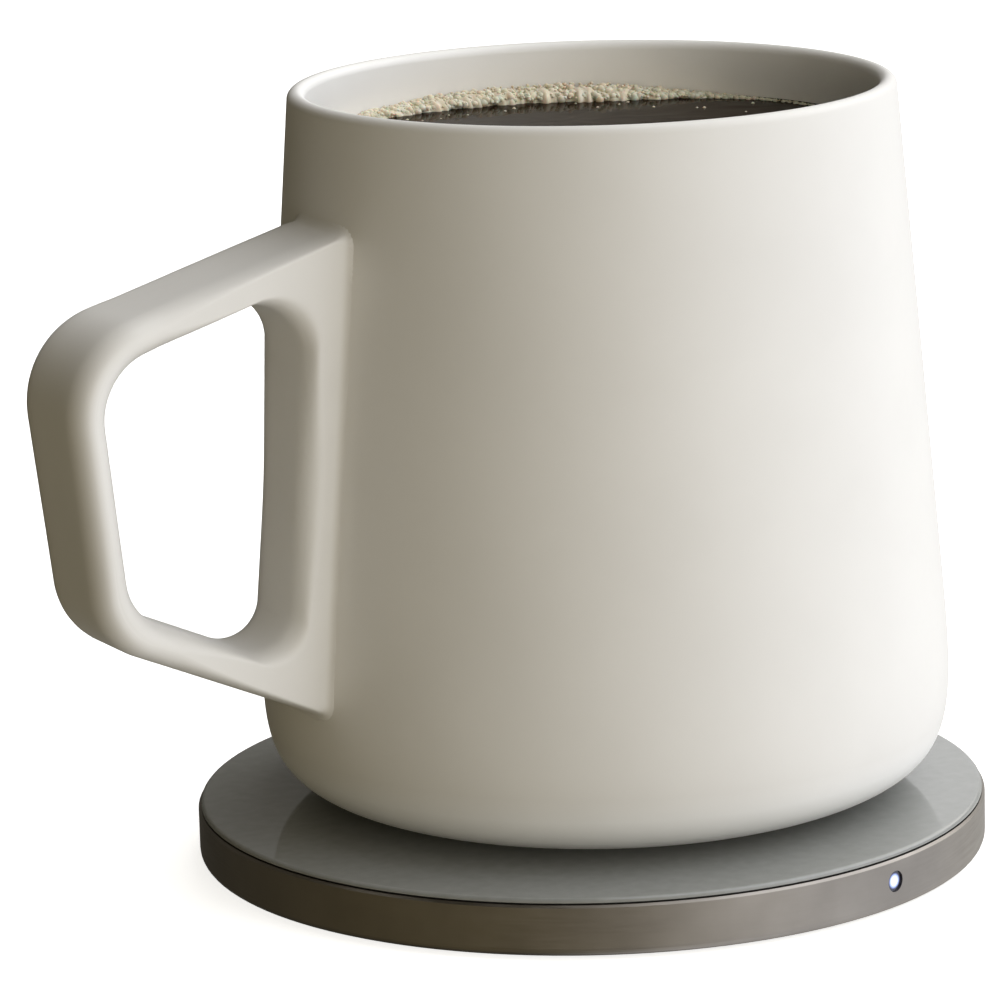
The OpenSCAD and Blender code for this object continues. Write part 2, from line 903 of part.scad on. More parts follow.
module usb_socket_tongue() {
    color("black") {
        at_socket(socket_back + socket_wall + socket_back_wall)
            linear_extrude(height = socket_back_wall)
                stadium(socket_w - 2 * (socket_wall + rest_gap), socket_h - 2 * (socket_wall + rest_gap));
        translate([0, (socket_back + socket_front - tongue_front_gap) / 2, socket_z - tongue_t / 2])
            block([tongue_w, socket_depth - tongue_front_gap - 2 * socket_wall, tongue_t]);
    }
}

module cover_screws() {
    color("silver")
        around(cover_screw_angles, cover_screw_r)
            translate([0, 0, cover_top])
                screw(cover_screw_d, cover_screw_len, cover_screw_head_d, cover_screw_head_h);
}

module board_screws() {
    color("silver")
        around(board_screw_angles, board_screw_r)
            translate([0, 0, board_top])
                rotate([180, 0, 0])
                    screw(board_screw_d, board_screw_len, board_screw_head_d, board_screw_head_h);
}

mug_cup();
mug_handle();
heating_plate();
thermal_cutout();
insulation_disc();
receiver_board();
rectifier_chip();
tuning_capacitors();
heater_leads();
receiver_leads();
receiver_ferrite();
receiver_coil();
base_seal();
base_cap();
top_plate();
seam_gasket();
side_ring();
bottom_cover();
foot_disc();
light_surround();
light_pipe();
status_led();
main_board();
control_chip();
driver_chip();
bridge_transistors();
power_inductor();
resonant_capacitors();
transmitter_coil();
transmitter_ferrite();
coil_tray();
coil_leads();
pad_temperature_sensor();
usb_socket_shell();
usb_socket_tongue();
cover_screws();
board_screws();
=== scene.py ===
import math
import random

import bmesh
import bpy
import numpy as np
from mathutils import Matrix, Vector


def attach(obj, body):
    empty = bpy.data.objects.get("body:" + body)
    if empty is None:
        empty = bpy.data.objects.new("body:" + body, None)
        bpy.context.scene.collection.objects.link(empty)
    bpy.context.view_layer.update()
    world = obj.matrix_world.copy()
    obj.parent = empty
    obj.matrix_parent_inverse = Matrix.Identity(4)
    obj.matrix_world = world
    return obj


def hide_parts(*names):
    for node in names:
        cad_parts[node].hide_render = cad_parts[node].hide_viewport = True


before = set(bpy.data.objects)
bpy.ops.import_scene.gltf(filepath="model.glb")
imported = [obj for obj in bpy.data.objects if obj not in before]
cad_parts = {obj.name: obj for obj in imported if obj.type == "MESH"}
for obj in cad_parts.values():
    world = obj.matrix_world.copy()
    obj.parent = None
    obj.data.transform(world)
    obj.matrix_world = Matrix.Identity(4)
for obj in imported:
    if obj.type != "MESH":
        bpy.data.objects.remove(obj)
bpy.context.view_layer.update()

# Sizes of the part, in millimetres. Heights on the mug count from its own base.
MM = 0.001
PAD_H = 8.0
MUG_X = 2.7                    # of the mug's axis
MUG_H = 95.0
RIM_R = 79.7 / 2
SKIRT_R = 95.1 / 2             # of the straight wall, carried on down to the base
FOOT_R = 31.0
FOOT_INNER_R = 29.0
CORNER_H = 28.5
CORNER_REACH = 15.4
CORNER_PULL = 22.0
CORNER_SLOPE = 10.0            # degrees
LIP_T = 2.4
WALL_T = 3.8                   # at the height of the corner's end
FLOOR_TOP = 11.5
WELL_H = 8.0                   # of the hollow under the floor
WELL_R = 27.4
WELL_SHELF_H = 2.2
CUP_CORNER_R = 12.0
DRINK_LEVEL = 87.5
LIGHT_Z = 4.25                 # of the status light, above the table
LIGHT_ANGLE = -73.5            # degrees
LIGHT_CORE_R = 1.1

SCENE = bpy.context.scene


# ---------------------------------------------------------------- camera

TURN = math.radians(30.75)     # of the row's +X, anticlockwise from the view's right
PITCH, YAW, ROLL = (math.radians(a) for a in (12.893, -1.161, -1.635))
FOCAL_PX = 5125.56
FRAME_PX = 1000.0
SENSOR_MM = 36.0
CAMERA_BACK = 666.095          # from the mug's axis
CAMERA_UP = 191.5              # above the pad's top
CLIP_M = (0.05, 50)            # nearest and farthest distance shown, in metres


def view_dir(right, away, up=0.0):
    """A direction given as seen by the camera, in the row frame."""
    return Vector((
        right * math.cos(TURN) + away * math.sin(TURN),
        -right * math.sin(TURN) + away * math.cos(TURN),
        up,
    ))


def make_camera():
    forward = view_dir(
        math.sin(YAW) * math.cos(PITCH), math.cos(YAW) * math.cos(PITCH), -math.sin(PITCH)
    )
    right = view_dir(math.cos(YAW), -math.sin(YAW))
    up = right.cross(forward)
    tilted_right = right * math.cos(ROLL) + up * math.sin(ROLL)
    tilted_up = up * math.cos(ROLL) - right * math.sin(ROLL)
    data = bpy.data.cameras.new("camera")
    data.sensor_width = SENSOR_MM
    data.lens = FOCAL_PX / FRAME_PX * SENSOR_MM
    data.clip_start, data.clip_end = CLIP_M
    camera = bpy.data.objects.new("camera", data)
    SCENE.collection.objects.link(camera)
    axes = Matrix((tilted_right, tilted_up, -forward)).transposed().to_4x4()
    mug = Vector((MUG_X * MM, 0, PAD_H * MM))
    place = mug + view_dir(0, -CAMERA_BACK * MM, CAMERA_UP * MM)
    camera.matrix_world = Matrix.Translation(place) @ axes
    SCENE.camera = camera


make_camera()


# ---------------------------------------------------------------- nodes


class Nodes:
    """Makes shader nodes. An input is named or numbered, and gets a value or an output."""

    def __init__(self, tree):
        self.tree = tree

    def put(self, node, inputs):
        """Set or link some of a node's inputs."""
        for key, value in inputs.items():
            if isinstance(value, bpy.types.NodeSocket):
                self.tree.links.new(value, node.inputs[key])
            else:
                node.inputs[key].default_value = value

    def add(self, kind, inputs=None, **settings):
        """A new node of a kind, with its settings made before its inputs."""
        node = self.tree.nodes.new("ShaderNode" + kind)
        for key, value in settings.items():
            setattr(node, key, value)
        self.put(node, inputs or {})
        return node

    def math(self, operation, *terms):
        return self.add("Math", dict(enumerate(terms)), operation=operation).outputs[0]

    def length(self, vector, axes):
        """The length of a vector with each axis times a factor."""
        part = self.add("VectorMath", {0: vector, 1: axes}, operation="MULTIPLY")
        whole = self.add("VectorMath", {0: part.outputs["Vector"]}, operation="LENGTH")
        return whole.outputs["Value"]

    def remap(self, value, old, new=(0, 1)):
        """A value carried from one range to another, and held inside that."""
        ends = dict(zip(("From Min", "From Max", "To Min", "To Max"), (*old, *new)))
        return self.add("MapRange", {"Value": value, **ends}).outputs["Result"]

    def ramp(self, fac, *stops):
        """A colour by fac. Each stop is a place from 0 to 1 and its colour."""
        node = self.add("ValToRGB", {"Fac": fac})
        points = node.color_ramp.elements
        while len(points) < len(stops):
            points.new(0.5)
        for point, (place, colour) in zip(points, stops):
            point.position = place
            point.color = (*colour, 1)
        return node.outputs["Color"]

    def mix(self, share, first, second):
        """A colour between two others."""
        # A mix node keeps its sockets for colours at 6 and 7, and its mixed colour at 2.
        return self.add("Mix", {0: share, 6: first, 7: second}, data_type="RGBA").outputs[2]


NOISE_RANGE = (0.3, 0.7)       # where nearly all of a noise texture's values lie


class Paint(Nodes):
    """A material with one Principled shader. Scales of textures are per metre."""

    def __init__(self, name, rough, **sockets):
        self.mat = bpy.data.materials.new(name)
        self.mat.use_nodes = True
        super().__init__(self.mat.node_tree)
        self.shader = self.tree.nodes["Principled BSDF"]
        self.set(Roughness=rough, **sockets)
        self.coords = self.add("TexCoord").outputs["Object"]
        self.normal = None

    def set(self, **sockets):
        """Set the shader's sockets, with _ for each space in their names."""
        self.put(self.shader, {key.replace("_", " "): v for key, v in sockets.items()})

    def stretched(self, stretch):
        if stretch is None:
            return self.coords
        return self.add("Mapping", {"Scale": stretch, "Vector": self.coords}).outputs["Vector"]

    def noise(self, scale, detail, stretch=None, distortion=0.0):
        inputs = {"Scale": scale, "Detail": detail, "Distortion": distortion}
        inputs["Vector"] = self.stretched(stretch)
        return self.add("TexNoise", inputs).outputs["Fac"]

    def cells(self, scale, feature="F1", stretch=None):
        inputs = {"Scale": scale, "Vector": self.stretched(stretch)}
        return self.add("TexVoronoi", inputs, feature=feature).outputs["Distance"]

    def clouds(self, noise, low, high):
        """A colour that drifts from low to high with a noise."""
        return self.ramp(noise, *zip(NOISE_RANGE, (low, high)))

    def roughness(self, noise, low, high):
        self.set(Roughness=self.remap(noise, NOISE_RANGE, (low, high)))

    def bump(self, height, depth_mm, strength):
        """Relief on top of the relief made so far."""
        inputs = {"Distance": depth_mm * MM, "Strength": strength, "Height": height}
        if self.normal is not None:
            inputs["Normal"] = self.normal
        self.normal = self.add("Bump", inputs).outputs["Normal"]
        self.set(Normal=self.normal)


# ---------------------------------------------------------------- materials


def ceramic():
    """Matt glaze, and a whiter copy of it inside the cup, painted lighter to stand in for
    light on the inner wall.
    """
    p = Paint("ceramic_matte", 0.42, IOR=1.5)
    cloud = p.noise(60, 4)
    outside = p.clouds(cloud, (0.80, 0.785, 0.755), (0.83, 0.815, 0.785))
    # The inside's whiter glaze is painted light: a brighter copy of the outer glaze for the
    # cup's inner wall.
    inside = p.clouds(cloud, (0.91, 0.905, 0.885), (0.94, 0.935, 0.915))
    from_base = {0: p.coords, 1: (MUG_X * MM, 0, PAD_H * MM)}
    point = p.add("VectorMath", from_base, operation="SUBTRACT").outputs["Vector"]
    # The radius is carried down along the wall's taper, so one value parts the outer glaze
    # from the painted lighter inside.
    taper = (SKIRT_R - RIM_R) / MUG_H
    height = p.add("SeparateXYZ", {0: point}).outputs["Z"]
    radius = p.math("MULTIPLY_ADD", height, taper, p.length(point, (1, 1, 0)))
    painted_light_inside = p.remap(radius, ((SKIRT_R - LIP_T / 2) * MM, (SKIRT_R - LIP_T) * MM))
    p.set(Base_Color=p.mix(painted_light_inside, outside, inside))
    p.roughness(p.noise(900, 3), 0.38, 0.47)
    p.bump(p.noise(45, 2), 0.05, 0.35)
    p.bump(p.noise(2600, 2), 0.006, 0.6)
    return p.mat


def drink():
    p = Paint("drink_dark", 0.04, IOR=1.045)
    dark, brown = (0.008, 0.004, 0.002), (0.015, 0.008, 0.004)
    p.set(Base_Color=p.ramp(p.noise(90, 3), (0.3, dark), (0.75, brown)))
    p.roughness(p.noise(160, 2), 0.03, 0.12)
    p.bump(p.noise(110, 2, distortion=0.4), 0.25, 0.5)
    return p.mat


def foam():
    p = Paint("foam_cream", 0.3, IOR=1.33, Subsurface_Weight=0.25, Subsurface_Scale=0.001)
    tan, cream, pale = (0.66, 0.56, 0.40), (0.74, 0.65, 0.50), (0.82, 0.75, 0.61)
    p.set(Base_Color=p.ramp(p.noise(800, 2), (0.3, tan), (0.5, cream), (0.72, pale)))
    p.roughness(p.noise(900, 2), 0.18, 0.45)
    p.bump(p.cells(2200), 0.03, 0.35)
    return p.mat


def plate():
    p = Paint("plate_grey", 0.06, IOR=1.7)
    p.set(Base_Color=p.clouds(p.noise(500, 4), (0.255, 0.262, 0.25), (0.285, 0.292, 0.28)))
    p.roughness(p.noise(1500, 3), 0.045, 0.07)
    p.bump(p.noise(5200, 2), 0.003, 0.3)
    return p.mat


def metal(name, low, high, rough, grain):
    """Satin metal with fine turned lines that run round the object."""
    p = Paint(name, rough[0], Metallic=1.0)
    lines = p.noise(grain, 3, stretch=(0.05, 0.05, 1.0))
    p.set(Base_Color=p.clouds(p.noise(140, 3), low, high))
    p.roughness(lines, *rough)
    p.bump(lines, 0.004, 0.35)
    return p.mat


def plastic(name, low, high, rough=(0.4, 0.55), grain=3200, **sockets):
    """Moulded plastic or rubber with a fine grain. One number for a colour is a grey."""
    low, high = (c if isinstance(c, tuple) else (c, c, c) for c in (low, high))
    p = Paint(name, rough[0], **sockets)
    fine = p.noise(grain, 2)
    p.set(Base_Color=p.clouds(p.noise(220, 3), low, high))
    p.roughness(fine, *rough)
    p.bump(fine, 0.01, 0.5)
    return p.mat


def board():
    """Green circuit board, with paler traces between cells."""
    p = Paint("board_green", 0.35, Coat_Weight=0.4)
    traces = p.cells(520, feature="DISTANCE_TO_EDGE", stretch=(1.0, 1.0, 0.02))
    pale, green, dark = (0.10, 0.34, 0.16), (0.02, 0.12, 0.05), (0.015, 0.10, 0.045)
    p.set(Base_Color=p.ramp(traces, (0.02, pale), (0.07, green), (1.0, dark)))
    p.bump(traces, 0.02, 0.4)
    return p.mat


def litz():
    """Copper of many fine strands."""
    p = Paint("litz_copper", 0.35, Metallic=1.0)
    strands = p.noise(5200, 2, stretch=(1.0, 1.0, 0.3))
    p.set(Base_Color=p.clouds(strands, (0.45, 0.19, 0.08), (0.80, 0.42, 0.22)))
    p.roughness(strands, 0.28, 0.45)
    p.bump(strands, 0.03, 0.6)
    return p.mat


def felt():
    p = Paint("felt_cream", 0.9)
    fibres = p.noise(2400, 5, stretch=(1.0, 0.3, 1.0), distortion=2.0)
    p.set(Base_Color=p.clouds(fibres, (0.62, 0.55, 0.42), (0.85, 0.80, 0.68)))
    p.bump(fibres, 0.05, 0.8)
    return p.mat


def ferrite():
    p = Paint("ferrite_dark", 0.6)
    grains = p.cells(2200)
    dark, grey = (0.05, 0.05, 0.055), (0.12, 0.12, 0.13)
    p.set(Base_Color=p.ramp(grains, (0.1, dark), (0.6, grey)))
    p.roughness(grains, 0.5, 0.75)
    p.bump(grains, 0.02, 0.5)
    return p.mat


def lit_lens():
    """The status light: a glowing core that fades to a dark rim, round the light's own axis.
    The dark rim and the dark blue base colour are painted shade of the recess round the light.
    """
    p = Paint("light_core", 0.25, Emission_Strength=1.6)
    # Dark blue base colour, seen round the glowing core: painted shade of the recess.
    p.set(Base_Color=p.clouds(p.noise(3000, 2), (0.05, 0.06, 0.12), (0.08, 0.09, 0.16)))
    to_axis = {"Location": (0, 0, -LIGHT_Z * MM), "Vector": p.coords}
    to_axis["Rotation"] = (0, 0, -math.radians(LIGHT_ANGLE))
    along = p.add("Mapping", to_axis).outputs["Vector"]
    share = p.remap(p.length(along, (0, 1, 1)), (0, LIGHT_CORE_R * MM))
    white, pale = (1.0, 1.0, 1.0), (0.75, 0.84, 1.0)
    blue, dark = (0.30, 0.38, 0.68), (0.01, 0.015, 0.05)
    glow = p.ramp(share, (0.0, white), (0.45, pale), (0.72, blue), (0.92, dark))
    p.set(Emission_Color=glow)
    return p.mat


CERAMIC = ceramic()
DRINK = drink()
FOAM = foam()

LOOKS = {
    "mug_cup mug_handle": CERAMIC,
    "heating_plate": metal(
        "heater_metal", (0.62, 0.62, 0.63), (0.78, 0.78, 0.79), (0.3, 0.45), 2600
    ),
    "insulation_disc": felt(),
    "receiver_board main_board": board(),
    "rectifier_chip control_chip driver_chip bridge_transistors": plastic(
        "chip_black", (0.012, 0.012, 0.014), (0.03, 0.03, 0.033)
    ),
    "thermal_cutout pad_temperature_sensor usb_socket_tongue": plastic(
        "housing_black", (0.015, 0.015, 0.016), (0.035, 0.035, 0.037), (0.45, 0.6)
    ),
    "tuning_capacitors resonant_capacitors": plastic(
        "capacitor_tan", (0.42, 0.29, 0.17), (0.60, 0.45, 0.28), (0.3, 0.45), grain=2000
    ),
    "heater_leads receiver_leads receiver_coil transmitter_coil coil_leads": litz(),
    "receiver_ferrite transmitter_ferrite power_inductor": ferrite(),
    "base_seal": plastic("seal_grey", (0.28, 0.28, 0.29), (0.38, 0.38, 0.39), (0.6, 0.75)),
    "base_cap coil_tray": plastic("cap_ivory", (0.74, 0.73, 0.70), (0.80, 0.79, 0.76)),
    "top_plate": plate(),
    "seam_gasket": plastic("gasket_black", 0.004, 0.012, (0.6, 0.8)),
    "side_ring": metal(
        "ring_champagne", (0.255, 0.234, 0.21), (0.297, 0.273, 0.245), (0.3, 0.4), 3600
    ),
    "bottom_cover": plastic("cover_dark", 0.035, 0.06, (0.5, 0.65)),
    "foot_disc": plastic("foot_silicone", 0.03, 0.05, (0.65, 0.85)),
    # The near-black navy surround is painted shade: it paints the shade of the recess round
    # the status light.
    "light_surround": plastic(
        "surround_painted_shade", (0.006, 0.009, 0.03), (0.015, 0.02, 0.06), (0.12, 0.25),
        Coat_Weight=0.5,
    ),
    "light_pipe status_led": lit_lens(),
    "usb_socket_shell cover_screws board_screws": metal(
        "steel_plated", (0.50, 0.50, 0.51), (0.66, 0.66, 0.67), (0.25, 0.4), 2400
    ),
}

for names, look in LOOKS.items():
    for name in names.split():
        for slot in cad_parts[name].material_slots:
            slot.material = look


# ---------------------------------------------------------------- mesh helpers


def mesh_object(name, points, faces, material, sharp_deg=None):
    """A smooth-shaded object from points in the row frame, in millimetres."""
    mesh = bpy.data.meshes.new(name)
    mesh.from_pydata([tuple(p) for p in np.asarray(points, float) * MM], [], faces)
    mesh.validate()
    mesh.shade_smooth()
    if sharp_deg:
        mesh.set_sharp_from_angle(angle=math.radians(sharp_deg))
    mesh.materials.append(material)
    obj = bpy.data.objects.new(name, mesh)
    SCENE.collection.objects.link(obj)
    return obj


def on_mug(points):
    """Points round the mug's own axis and base, moved to where it stands."""
    return np.asarray(points, float) + (MUG_X, 0, PAD_H)


def revolve(profile, segments):
    """Surface of an (r, z) profile turned about the axis. One with r = 0 becomes a pole."""
    points, rows = [], []
    angles = np.arange(segments) * 2 * math.pi / segments
    for r, z in profile:
        if r < 1e-9:
            rows.append([len(points)] * segments)
            points.append((0, 0, z))
        else:
            rows.append(list(range(len(points), len(points) + segments)))
            points += [(r * math.cos(a), r * math.sin(a), z) for a in angles]
    faces = []
    for low, high in zip(rows, rows[1:]):
        for k in range(segments):
            n = (k + 1) % segments
            face = [low[k], low[n], high[n], high[k]]
            faces.append([v for i, v in enumerate(face) if v != face[i - 1]])
    return points, faces


def tube_faces(rings, per):
    """Faces of a tube that closes on itself, made of rings with so many points per ring."""
    faces = []
    for i in range(rings):
        here, there = i * per, (i + 1) % rings * per
        for k in range(per):
            n = (k + 1) % per
            faces.append((here + k, here + n, there + n, there + k))
    return faces


def arc(centre, r, start_deg, end_deg, steps):
    turns = np.radians(np.linspace(start_deg, end_deg, steps + 1))
    return [(centre[0] + r * math.cos(t), centre[1] + r * math.sin(t)) for t in turns]


def line(a, b, steps):
    """Points from a to b, without the two ends."""
    return [tuple(np.asarray(a) + (np.asarray(b) - a) * k / steps) for k in range(1, steps)]


def closed_loop(arcs, steps):
    """Arcs and the straight lines between them, each line in its own number of steps."""
    loop = []
    for i, count in enumerate(steps):
        loop += arcs[i] + line(arcs[i][-1], arcs[(i + 1) % len(arcs)][0], count)
    return loop


# ---------------------------------------------------------------- cup

CUP_SEGMENTS = 240
CORNER_STEPS = 56
WALL_STEPS = 28
INNER_STEPS = 24               # of the lip, the inner wall and the inner corner, each
FLOOR_RINGS = (20, 10, 0)


def wall_r(z):
    """The mug's outer radius at a height of its straight wall."""
    return SKIRT_R + (RIM_R - SKIRT_R) * z / MUG_H


def cup_wall_r(z):
    """The cup's inner radius at a height."""
    return wall_r(z) - WALL_T - (LIP_T - WALL_T) * (z - CORNER_H) / (MUG_H - CORNER_H)


def corner_curve():
    """The mug's rounded lower corner, a cubic curve from the foot to the straight wall."""
    controls = np.array([
        (FOOT_R, 0),
        (FOOT_R + CORNER_REACH, CORNER_REACH * math.tan(math.radians(CORNER_SLOPE))),
        (wall_r(CORNER_H - CORNER_PULL), CORNER_H - CORNER_PULL),
        (wall_r(CORNER_H), CORNER_H),
    ])
    curve = []
    for t in np.linspace(0, 1, CORNER_STEPS + 1):
        weights = np.array([(1 - t) ** 3, 3 * t * (1 - t) ** 2, 3 * t * t * (1 - t), t ** 3])
        curve.append(tuple(weights @ controls))
    return curve


def outer_profile():
    """Outside of the mug from its foot to the top of its straight wall."""
    lip_z = MUG_H - LIP_T / 2
    curve = corner_curve()
    return curve + line(curve[-1], (wall_r(lip_z), lip_z), WALL_STEPS)


def make_cup():
    lip_r = LIP_T / 2
    lip_z = MUG_H - lip_r
    corner_z = FLOOR_TOP + CUP_CORNER_R
    corner_centre = (cup_wall_r(corner_z) - CUP_CORNER_R, corner_z)
    lip = arc((wall_r(lip_z) - lip_r, lip_z), lip_r, 0, 180, INNER_STEPS)
    inner_corner = arc(corner_centre, CUP_CORNER_R, 0, -90, INNER_STEPS)
    profile = (
        outer_profile() + lip
        + line(lip[-1], inner_corner[0], INNER_STEPS) + inner_corner
        + [(r, FLOOR_TOP) for r in FLOOR_RINGS]
        + [(0, WELL_H), (WELL_R, WELL_H), (WELL_R, WELL_SHELF_H)]
        + [(FOOT_INNER_R, WELL_SHELF_H), (FOOT_INNER_R, 0), (FOOT_R, 0)]
    )
    points, faces = revolve(profile, CUP_SEGMENTS)
    cup = mesh_object("cup_body", on_mug(points), faces, CERAMIC, sharp_deg=35)
    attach(cup, "mug")
    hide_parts("mug_cup")


# ---------------------------------------------------------------- handle

HANDLE_TOP, HANDLE_BOTTOM, HANDLE_REACH, HANDLE_MID = 80.3, 17.4, 79.1, 50.0
UPPER_W, LOWER_W, ROOT_NARROWING = 18.1, 16.3, 2.9
UPPER_FALL, LOWER_RISE, GRIP_LEAN = 14.7, 24.5, 6.0    # degrees
GRIP_T, UPPER_T, LOWER_T, POST_T = 5.0, 3.6, 5.2, 4.2
OPENING_FALL, OPENING_RISE = 17.4, 25.0                # degrees
ROOT_DEPTH, ROOT_CORNER_R = 4.0, 3.0
OUTER_RADII = (12.3, ROOT_CORNER_R, ROOT_CORNER_R, 10.2)
OPENING_RADII = (8.2, 7.6, 5.5, 8.2)
LOOP_ARC_STEPS, LOOP_LINE_STEPS = 18, 70
EDGE_R = 2.4                   # of the round along the handle's edges, through its thickness
EDGE_SPREAD = 1.6              # how much wider that round is than deep
EDGE_STEPS = 8
FLATTEST_EDGE = 0.96           # share of half the thickness that the round may take
SECTION_LINE_STEPS = (20, 8, 20, 8)
INSET = 0.04                   # how far the visible skin lies inside the solid handle
JOIN_R = 0.9                   # of the soft joint between handle and wall
JOIN_FADE = 2.5                # depth inside the wall at which the joint's widening has ended
LEAST_SLIDE = 0.35             # how far a skin must turn to the wall to be moved along itself
SUNK = 0.7                     # how far the handle's root lies inside the wall


def heading(deg):
    return np.array((math.cos(math.radians(deg)), math.sin(math.radians(deg))))


def cross2(a, b):
    return a[0] * b[1] - a[1] * b[0]


def meet(p, a, q, b):
    """Where the line through p at angle a meets the line through q at angle b."""
    p, q = np.asarray(p, float), np.asarray(q, float)
    return p + heading(a) * cross2(q - p, heading(b)) / cross2(heading(a), heading(b))


def fillet(before, at, after, r):
    """Points of the round of radius r that takes the place of a corner."""
    a = (before - at) / np.linalg.norm(before - at)
    b = (after - at) / np.linalg.norm(after - at)
    half = math.acos(a @ b) / 2
    centre = at + (a + b) / np.linalg.norm(a + b) * r / math.sin(half)
    start, end = at + a * r / math.tan(half) - centre, at + b * r / math.tan(half) - centre
    first, last = math.atan2(start[1], start[0]), math.atan2(end[1], end[0])
    sweep = (last - first + math.pi) % (2 * math.pi) - math.pi
    return [
        centre + r * np.array((math.cos(first + sweep * t), math.sin(first + sweep * t)))
        for t in np.linspace(0, 1, LOOP_ARC_STEPS + 1)
    ]


def rounded_loop(corners, radii):
    arcs = [
        fillet(corners[i - 1], corners[i], corners[(i + 1) % 4], radii[i]) for i in range(4)
    ]
    return np.array(closed_loop(arcs, (LOOP_LINE_STEPS,) * 4))


def handle_outlines():
    """The handle's outer outline and its opening's, seen from the side."""
    lean = math.radians(GRIP_LEAN)
    wall_deg = 90 + math.degrees(math.atan((SKIRT_R - RIM_R) / MUG_H))
    grip_deg = 90 - GRIP_LEAN
    upper, lower = (wall_r(HANDLE_TOP), HANDLE_TOP), (wall_r(HANDLE_BOTTOM), HANDLE_BOTTOM)
    grip = (HANDLE_REACH, HANDLE_MID)
    root = (wall_r(HANDLE_MID) - ROOT_DEPTH, HANDLE_MID)
    under_upper, over_lower = (upper[0], upper[1] - UPPER_T), (lower[0], lower[1] + LOWER_T)
    inner_grip = (grip[0] - GRIP_T / math.cos(lean), HANDLE_MID)
    post = (wall_r(HANDLE_MID) + POST_T, HANDLE_MID)

    def four(grip_at, upper_at, upper_deg, wall_at, lower_at, lower_deg):
        return [
            meet(grip_at, grip_deg, upper_at, upper_deg),
            meet(upper_at, upper_deg, wall_at, wall_deg),
            meet(wall_at, wall_deg, lower_at, lower_deg),
            meet(lower_at, lower_deg, grip_at, grip_deg),
        ]

    outer = four(grip, upper, -UPPER_FALL, root, lower, LOWER_RISE)
    opening = four(inner_grip, under_upper, -OPENING_FALL, post, over_lower, OPENING_RISE)
    return rounded_loop(outer, OUTER_RADII), rounded_loop(opening, OPENING_RADII)


def wall_distance(points, curve):
    """Signed distance of each point from the mug's outside, and the direction away from it."""
    r = np.hypot(points[:, 0], points[:, 1])
    flat = np.stack([r, points[:, 2]], 1)
    a, b = curve[:-1], curve[1:]
    along = b - a
    t = np.clip(((flat[:, None] - a) * along).sum(2) / (along ** 2).sum(1), 0, 1)
    gaps = flat[:, None] - (a + t[..., None] * along)
    nearest = np.argmin((gaps ** 2).sum(2), 1)
    gap = gaps[np.arange(len(flat)), nearest]
    unit = along[nearest] / np.linalg.norm(along[nearest], axis=1)[:, None]
    out = np.stack([unit[:, 1], -unit[:, 0]], 1)
    radial = points[:, :2] / r[:, None]
    away = np.concatenate([radial * out[:, :1], out[:, 1:]], 1)
    return (gap * out).sum(1), away


def vertex_normals(grid):
    """Outward normals of a closed grid of points, rings first."""
    along = np.roll(grid, -1, 0) - np.roll(grid, 1, 0)
    around = np.roll(grid, -1, 1) - np.roll(grid, 1, 1)
    n = np.cross(around, along)
    n /= np.linalg.norm(n, axis=2)[..., None] + 1e-12
    middle = grid.mean(1, keepdims=True)
    return -n if ((grid - middle) * n).sum() < 0 else n


def joined_to_wall(grid):
    """The handle's points with a soft joint of radius JOIN_R where they reach the wall."""
    curve = np.array(outer_profile())
    points = grid.reshape(-1, 3)
    normals = vertex_normals(grid).reshape(-1, 3)
    gap, away = wall_distance(points, curve)
    facing = (away * normals).sum(1)
    # Two directions at each point: along the skin away from the wall, and out from the skin
    # along the wall.
    slide = away - facing[:, None] * normals
    slide_len = np.linalg.norm(slide, axis=1)
    slide /= slide_len[:, None] + 1e-9
    outward = normals - facing[:, None] * away
    outward /= np.linalg.norm(outward, axis=1)[:, None] + 1e-9

    # The round takes up the skin between these two gaps. Past it, the skin goes into the wall.
    start = JOIN_R
    reach = JOIN_R * math.pi / 2
    stop = start - reach
    turn = np.clip((start - gap) / reach, 0, 1) * math.pi / 2
    inside = gap < stop
    new_gap = np.where(inside, np.maximum(gap - stop, -SUNK), JOIN_R * (1 - np.sin(turn)))
    fade = np.clip(1 - (stop - gap) / JOIN_FADE, 0, 1)
    spread = np.where(
        inside, JOIN_R * fade * fade * (3 - 2 * fade), JOIN_R * (1 - np.cos(turn))
    )

    moved = gap < start
    side_on = slide_len > LEAST_SLIDE
    step = np.where(side_on, (new_gap - gap) / np.maximum(slide_len, LEAST_SLIDE), 0) * moved
    spread = spread * moved * side_on
    result = points + slide * step[:, None] + outward * spread[:, None]
    again, away = wall_distance(result, curve)
    result += away * (np.where(moved, new_gap, again) - again)[:, None]
    return result.reshape(grid.shape)


def handle_half_w(across):
    """Half the handle's width at points of the loop: it narrows downward and to the wall."""
    rise = (across[..., 1] - HANDLE_BOTTOM) / (HANDLE_TOP - HANDLE_BOTTOM)
    inward = (HANDLE_REACH - across[..., 0]) / (HANDLE_REACH - wall_r(HANDLE_MID))
    return (LOWER_W + (UPPER_W - LOWER_W) * rise - ROOT_NARROWING * inward) / 2 - INSET


def handle_section(half_t, r):
    """Points round a section of half the thickness half_t and edge rounds of radius r.

    Each point is its place across the thickness, its share of half the width, and what the
    round takes off that, in millimetres.
    """
    spread = r * EDGE_SPREAD
    arcs = []
    for corner, (out, side) in enumerate(((1, 1), (-1, 1), (-1, -1), (1, -1))):
        turns = np.radians(np.linspace(90 * corner, 90 * corner + 90, EDGE_STEPS + 1))
        arcs.append([
            (out * (half_t - r) + r * math.cos(a), side, spread * (math.sin(a) - side))
            for a in turns
        ])
    return closed_loop(arcs, SECTION_LINE_STEPS)


